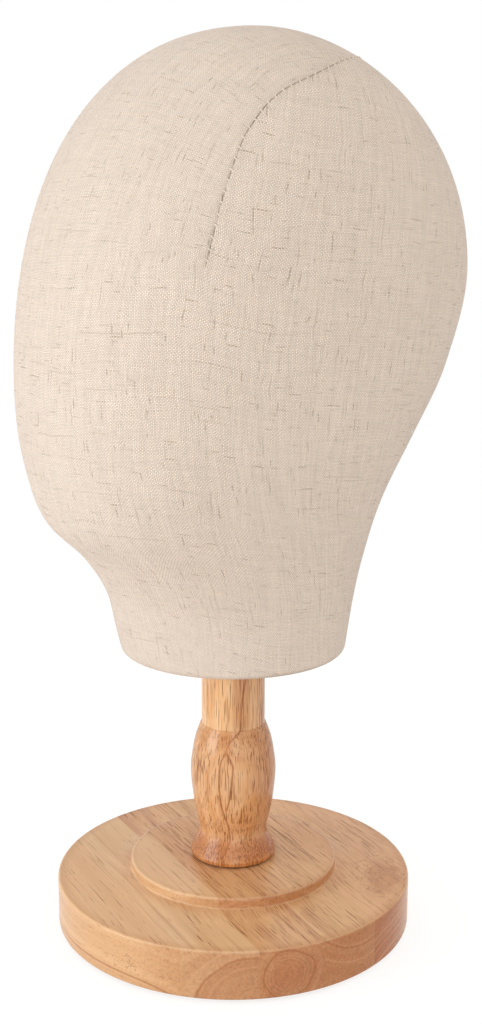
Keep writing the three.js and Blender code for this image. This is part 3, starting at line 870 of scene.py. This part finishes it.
class PostWood(Wood):
    """Grain up the post. Its dark ring is the one kept in the mesh."""

    ring_share = 0.7
    pore_share = 0.74
    pores_lost_at_end = 0.1
    coat = 0.6
    lacquer = srgb(184, 108, 48)

    def grain(self):
        return self.z, self.x, self.y, self.nz

    def end_grain(self, facing):
        """The narrow shoulder stays as pale as the stem."""
        return self.times(self.span(facing, 0.0, 0.6), self.span(facing, 0.8, 0.62))

    def dark_ring(self, radius, line):
        return self.span(self.kept("growth_line"), 0.62, 0.2)

    def pore_dashes(self):
        """Pores that follow the turned surface part of the way."""
        level = self.plus(self.over(8.5, self.from_axis), 0.45)
        places = (self.z, self.times(self.x, level), self.times(self.y, level))
        return self.drawn_noise(places, (12, 0.36, 0.36), 1, 0.4)

    def warm(self):
        return self.span(self.stretched(24, 9, 41.0, 2), 0.45, 0.65)

    def soaked(self, soaked):
        return self.times(soaked, self.plus(self.times(self.warm(), 0.6), 0.55))

    def above_foot(self, low, high):
        """0 at the first height above the foot and 1 at the second."""
        return self.span(self.z, POST_Z + low, POST_Z + high)

    def worked(self, tone, fibre):
        # Painted shade: darker on the side that lies away from the light
        away = self.dot(self.x, self.y, 0.574, 0.819)
        tone = self.mix(self.times(self.span(away, 2, 20), 0.55), tone, srgb(172, 102, 62))
        # A dark streak of the stem
        toward = self.dot(self.x, self.y, 0.94, -0.342)
        band = self.times(self.span(toward, 13.3, 14.0), self.above_foot(61, 66))
        strength = self.plus(self.times(self.span(fibre, 0.35, 0.65), 0.4), 0.3)
        tone = self.mix(self.times(band, strength), tone, srgb(176, 108, 66))
        tone = self.mix(self.times(self.warm(), 0.3), tone, srgb(228, 156, 82))
        # The turned swell is warmer than the stem, and its foot more so up to a golden edge
        turned = self.plus(self.times(self.above_foot(64, 61), 0.22),
                           self.times(self.above_foot(16, 8), 0.34))
        tone = self.mix(turned, tone, srgb(182, 98, 34))
        tone = self.mix(self.times(self.above_foot(5, 2.5), 0.3), tone, srgb(232, 160, 84))
        # Open pores of the foot, and a painted shadow line in the gap under its edge
        flecks = self.drawn_noise((self.z, self.x, self.y), (6, 0.62, 0.62), 1, 0.4)
        tone = self.mix(self.times(self.span(flecks, 0.54, 0.62),
                                   self.times(self.above_foot(11, 6), 0.62)), tone, PORE)
        return self.mix(self.times(self.above_foot(0.8, 0.55), 0.85), tone, srgb(84, 44, 18))


class StripWood(Wood):
    """Grain level, turned against +X."""

    def grain(self):
        cos, sin = math.cos(math.radians(GRAIN_TURN)), math.sin(math.radians(GRAIN_TURN))
        return (self.dot(self.x, self.y, cos, sin), self.dot(self.x, self.y, -sin, cos), self.z,
                self.dot(self.nx, self.ny, cos, sin))

    def end_grain(self, facing):
        return self.span(facing, 0.3, 1.0)

    def dark_ring(self, radius, line):
        """A thin ring and a weak dark side inside it."""
        thin = self.span(self.math("ABSOLUTE", self.minus(radius, line)), 0.7, 0.2)
        return self.most(thin, self.times(self.span(radius, line + 0.5, line - 1.5), 0.22))

    def facing_up(self):
        return self.span(self.nz, 0.5, 0.9)

    def pore_dashes(self):
        """Pores that stay unbroken where the rim slopes."""
        level = self.plus(self.times(self.facing_up(), -0.85), 1)
        along = self.plus(self.over(self.along, 14), self.seed * 7.31 + 23)
        vector = self.vector(along, self.over(self.a, 0.36),
                             self.over(self.times(self.b, level), 0.36))
        return self.noise(vector, 1, 1, 0.4)

    def soaked(self, soaked):
        """Lacquer's colour in the end grain and along the rim's edge; darker orange round the
        step's foot.
        """
        step_wall = self.times(self.span(self.from_axis, STEP_RADIUS + 9, STEP_RADIUS + 1),
                               self.span(self.from_axis, STEP_RADIUS - 4, STEP_RADIUS))
        edge = self.plus(self.span(self.from_axis, BASE_RADIUS - 6, BASE_RADIUS - 1),
                         self.times(step_wall, 0.8))
        outwards = self.span(self.from_axis, STEP_RADIUS - 8, STEP_RADIUS + 7)
        soaked = self.times(soaked, self.plus(self.times(outwards, 0.45), 0.55))
        flat = self.span(self.nz, 0.5, 1.0)
        soaked = self.most(soaked, self.times(self.times(edge, flat), 0.22))
        # Painted shade: steep faces are darker, in the lacquer's colour
        return self.most(soaked, self.times(self.span(self.nz, 0.3, 0.1), 0.15))

    def knotted(self, knot, soaked, pore, end):
        """Curly grain round the knot: soaked, with pores that bend round it."""
        ka, kb = self.minus(self.along, knot[0]), self.minus(self.a, knot[1])
        kp, kq = (self.over(self.dot(ka, kb, p, q), size) for p, q, size in KNOT_AXES)
        off = self.distance(kp, kq)
        off = self.plus(off, self.times(self.minus(self.noise(self.place(), 0.16, 3), 0.5), 0.9))
        curl = self.times(self.span(off, 1.3, 0.6), self.facing_up())
        bent = self.times(self.span(off, 1.9, 1.4), self.facing_up())
        vector = self.vector(self.times(off, 17), self.times(kp, 3.4), self.times(kq, 1.9))
        dashes = self.times(self.span(self.noise(vector, 1, 1, 0.4), 0.54, 0.66), bent)
        pore = self.plus(self.times(pore, self.plus(self.times(bent, -0.75), 1)),
                         self.times(dashes, 0.42))
        return (self.most(soaked, self.times(curl, 0.4)), pore,
                self.most(end, self.times(bent, 0.4)))

    def worked(self, tone, fibre):
        """Painted highlight: the rounded edges of the rim and the step are paler."""
        rounded = self.times(self.span(self.nz, 0.35, 0.55), self.span(self.nz, 0.92, 0.75))
        rim_edge = self.span(self.from_axis, BASE_RADIUS - 1.6, BASE_RADIUS - 1.2)
        step_edge = self.times(self.span(self.from_axis, STEP_RADIUS - 1.4, STEP_RADIUS - 1.0),
                               self.span(self.from_axis, STEP_RADIUS + 0.3, STEP_RADIUS))
        at_edge = self.plus(rim_edge, step_edge)
        return self.mix(self.times(self.times(rounded, at_edge), 0.14), tone, srgb(252, 222, 188))


def plain_material(name, light, dark, size_mm, roughness, metallic, bump_mm, stretch):
    """A material of two tones in fine noise, which may be drawn out along X."""
    g = material_graph(name)
    grain = g.drawn_noise(g.parts(g.place()), (size_mm * stretch, size_mm, size_mm), 4, 0.6)
    worn = g.noise(g.place(), 0.08, 2)
    tone = g.shaded(g.mix(g.span(grain, 0.3, 0.7), light, dark), g.swing(worn, 0.08))
    rough = g.plus(g.times(grain, 0.2), roughness - 0.1)
    return g.finish(Base_Color=tone, Roughness=rough, Metallic=metallic,
                    Normal=g.bump(grain, bump_mm))


def plywood_material():
    """Birch plywood: thin plies on the edge, long grain on the faces."""
    g = material_graph("plywood_sheet")
    x, y, z = g.parts(g.place())
    ply = g.math("FRACT", g.over(g.minus(z, NECK_Z + LINEN), 3.0))
    lines = g.span(g.math("ABSOLUTE", g.minus(ply, 0.5)), 0.38, 0.5)
    grain = g.drawn_noise((x, y, z), (24, 0.8, 0.8), 3, 0.6)
    tone = g.mix(grain, srgb(214, 184, 138), srgb(190, 152, 104))
    tone = g.mix(g.times(lines, 0.5), tone, srgb(134, 96, 60))
    return g.finish(Base_Color=tone, Roughness=0.7, Normal=g.bump(grain, 0.08))


def dress(obj, material):
    """Gives an object one material. A CAD node's mesh is kept as it is."""
    if not obj.material_slots:
        obj.data.materials.append(material)
    for slot in obj.material_slots:
        slot.material = material


# The piece list

skin, seams = make_linen()
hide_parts("linen_cover")
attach(skin, "head")
dress(skin, linen_material())

stitches = make_stitches(seams)
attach(stitches, "head")
dress(stitches, thread_material())

post = make_post()
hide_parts("turned_post")
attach(post, "post")
dress(post, PostWood("rubberwood_post", 1).marked(
    srgb(249, 205, 157), srgb(236, 184, 133), rings=(-60, 30), pores=1.2, heart=0.3, soak=0.6))

STRIP_WOOD = (  # light tone, dark tone, rings, line, pores, heart, soak
    ((241, 198, 150), (228, 180, 132), (-75, -30), 36, 0.3, 0.2, 0.62),
    ((235, 193, 147), (220, 174, 128), (-28, -1), 21, 0.1, 0.15, 0.56),
    ((236, 188, 139), (219, 166, 118), (-14.8, 11.5), 10.5, 0.95, 0.5, 0.6),
    ((240, 193, 141), (224, 174, 122), (22, 45), 30, 0.95, 0.2, 0.72),
    ((236, 186, 137), (220, 166, 118), (48, -35), 48, 0.85, 0.3, 0.9),
    ((242, 193, 147), (226, 173, 128), (80, 40), 40, 0.8, 0.4, 0.9),
)
KNOT = (42, 55)  # along and across the grain, on the last two strips
for number, (strip, wood) in enumerate(zip(make_strips(), STRIP_WOOD), 1):
    light, dark, rings, line, pores, heart, soak = wood
    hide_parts(f"base_strip_{number}")
    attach(strip, "base")
    dress(strip, StripWood(f"rubberwood_strip_{number}", number + 4).marked(
        srgb(*light), srgb(*dark), rings, pores, heart, soak, line, KNOT if number > 4 else None))

PLAIN = (  # nodes, material, light tone, dark tone, grain size, roughness, metal, bump, stretch
    (["felt_disc"], "felt_pad", (88, 80, 72), (62, 56, 50), 0.45, 0.95, 0, 0.25, 1),
    (["base_washer", "base_bolt"], "zinc_plated_steel", (186, 188, 190), (160, 163, 168),
     0.5, 0.38, 1, 0.01, 1),
    (["post_insert"], "brass_insert", (196, 160, 88), (170, 134, 66), 0.4, 0.4, 1, 0.02, 1),
    (["head_core"], "foam_core", (240, 238, 232), (224, 221, 214), 2.2, 0.85, 0, 0.2, 1),
    (["socket_tube"], "card_tube_wall", (186, 156, 116), (164, 132, 94), 0.7, 0.85, 0, 0.05, 6),
    ([f"staple_{n:02d}" for n in range(1, 13)], "staple_wire", (196, 197, 199), (170, 172, 176),
     0.3, 0.32, 1, 0.01, 1),
)
for names, name, light, dark, *numbers in PLAIN:
    material = plain_material(name, srgb(*light), srgb(*dark), *numbers)
    for node in names:
        dress(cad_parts[node], material)
dress(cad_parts["neck_board"], plywood_material())


# Studio


def seen_directly(g):
    """1 for rays from the camera, mirrors and glass, 0 for the light that falls on things."""
    rays = g.add("ShaderNodeLightPath").outputs
    return g.most(rays["Is Camera Ray"], g.most(rays["Is Glossy Ray"], rays["Is Transmission Ray"]))


def make_floor():
    """White floor that looks as white as the background and keeps the object's shadow."""
    points, faces = turned_mesh([(2600, 0), (1300, 0), (600, 0), (0, 0)], 96)
    floor = new_object("studio_floor", np.array(points) - (0, 0, 0.3), faces)
    g = material_graph("studio_white")
    seen = seen_directly(g)
    x, y, _ = g.parts(g.place())
    away = g.span(g.distance(x, y), 350, 1100)
    own = g.times(seen, g.plus(g.times(away, 0.2), 0.8))
    diffuse = g.minus(0.88, g.times(seen, g.plus(g.times(away, 0.3), 0.58)))
    dress(floor, g.finish(Base_Color=g.vector(diffuse, diffuse, diffuse), Roughness=1.0,
                          Specular_IOR_Level=0.0, Emission_Color=WHITE, Emission_Strength=own))


def make_world(level):
    """White background, and even light of the given level on the object."""
    world = bpy.data.worlds.new("studio")
    g = Graph(world)
    g.feed(g.tree.nodes["Background"].inputs["Color"],
           g.mix(seen_directly(g), (*level, 1), WHITE))
    bpy.context.scene.world = world


def make_lamp(name, place, target, size, watts, tint):
    data = bpy.data.lights.new(name, "AREA")
    data.shape = "DISK"
    data.size = size
    data.energy = watts
    data.color = tint
    lamp = in_scene(name, data)
    lamp.location = place
    lamp.rotation_euler = (Vector(target) - Vector(place)).to_track_quat("-Z", "Y").to_euler()


def make_camera():
    """The photo's camera, worked out from the ellipses of the base."""
    data = bpy.data.cameras.new("camera")
    data.sensor_width = 36
    data.lens = 49.736
    data.shift_x = 7.8 / 1024
    data.clip_start, data.clip_end = 0.05, 20
    camera = in_scene("camera", data)
    camera.location = (0.49635, -0.34755, 0.31193)
    camera.rotation_euler = (math.radians(90 - 11.494), 0, math.radians(55))
    bpy.context.scene.camera = camera


make_floor()
make_world((0.74, 0.73, 0.705))
middle = (0, 0, 0.22)
make_lamp("key", (-0.28, -1.58, 0.36), middle, 1.1, 10.2, (0.95, 1.0, 1.045))
make_lamp("front", (1.3, -0.9, 0.25), middle, 1.1, 4.2, (1.0, 0.97, 0.92))
make_lamp("back", (0.8, 0.9, 1.5), middle, 1.0, 1.6, (1.0, 0.97, 0.92))
make_camera()
bpy.context.scene.view_settings.view_transform = "Standard"
